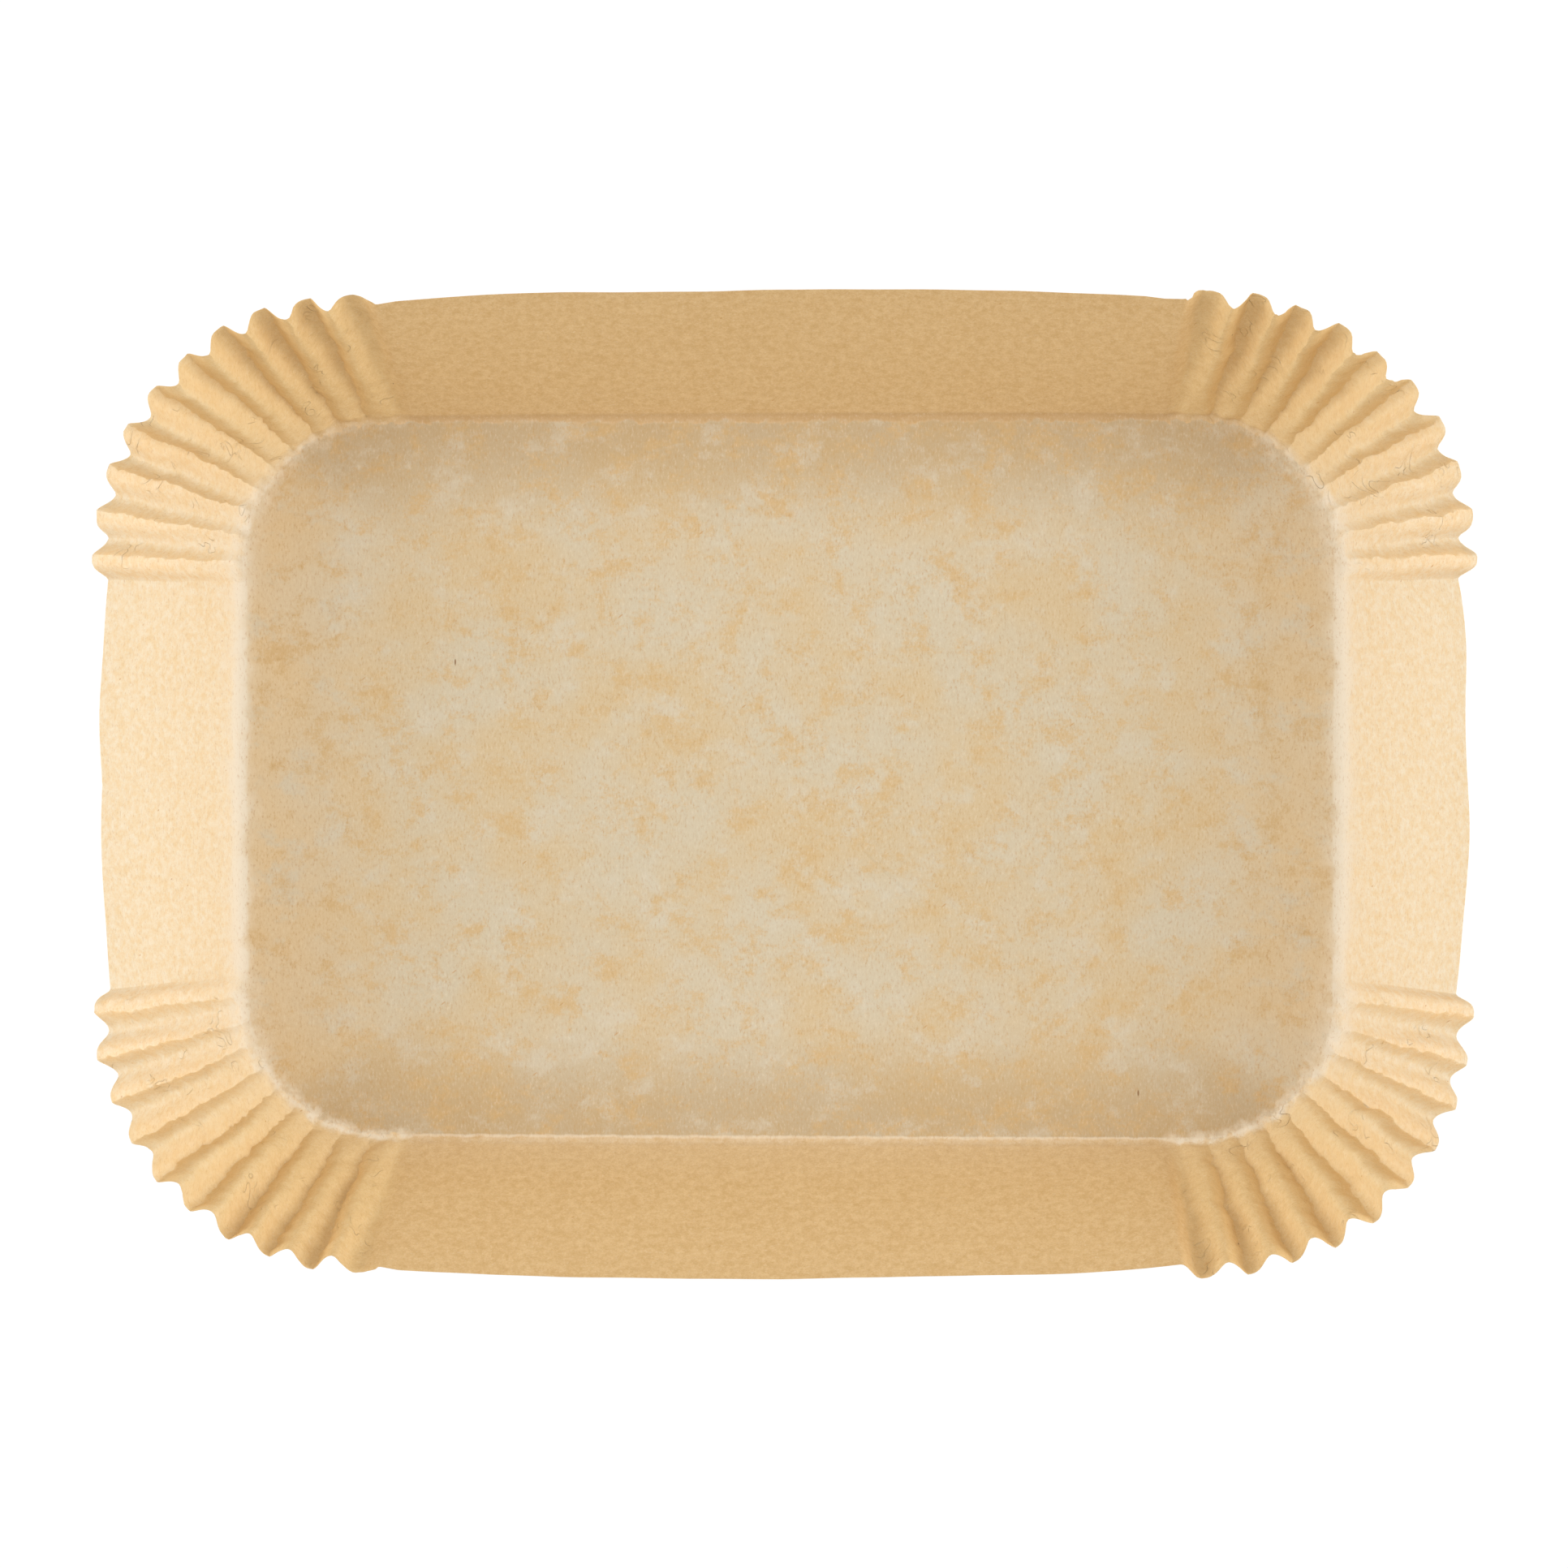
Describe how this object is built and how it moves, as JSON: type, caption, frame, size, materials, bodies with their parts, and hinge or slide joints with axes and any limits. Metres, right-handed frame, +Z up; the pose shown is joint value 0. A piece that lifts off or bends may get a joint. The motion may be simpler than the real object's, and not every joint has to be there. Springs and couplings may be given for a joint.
{
  "type": "rectangular air fryer paper liner",
  "caption": "Shallow rectangular tray liner with flared walls and fluted corners, pressed from one sheet of unbleached greaseproof paper to line an air fryer basket.",
  "frame": {"origin": "on the resting plane, under the middle of the floor", "axes": "+X along the long side of the tray, +Y across it, +Z up out of the open top"},
  "size_m": [0.2668, 0.1902, 0.0402],
  "materials": {
    "kraft_paper": "matt unbleached greaseproof paper, mottled on the floor, with pale stress lines at the creases"
  },
  "bodies": {
    "root": {"liner_sheet": "kraft_paper"}
  },
  "joints": []
}
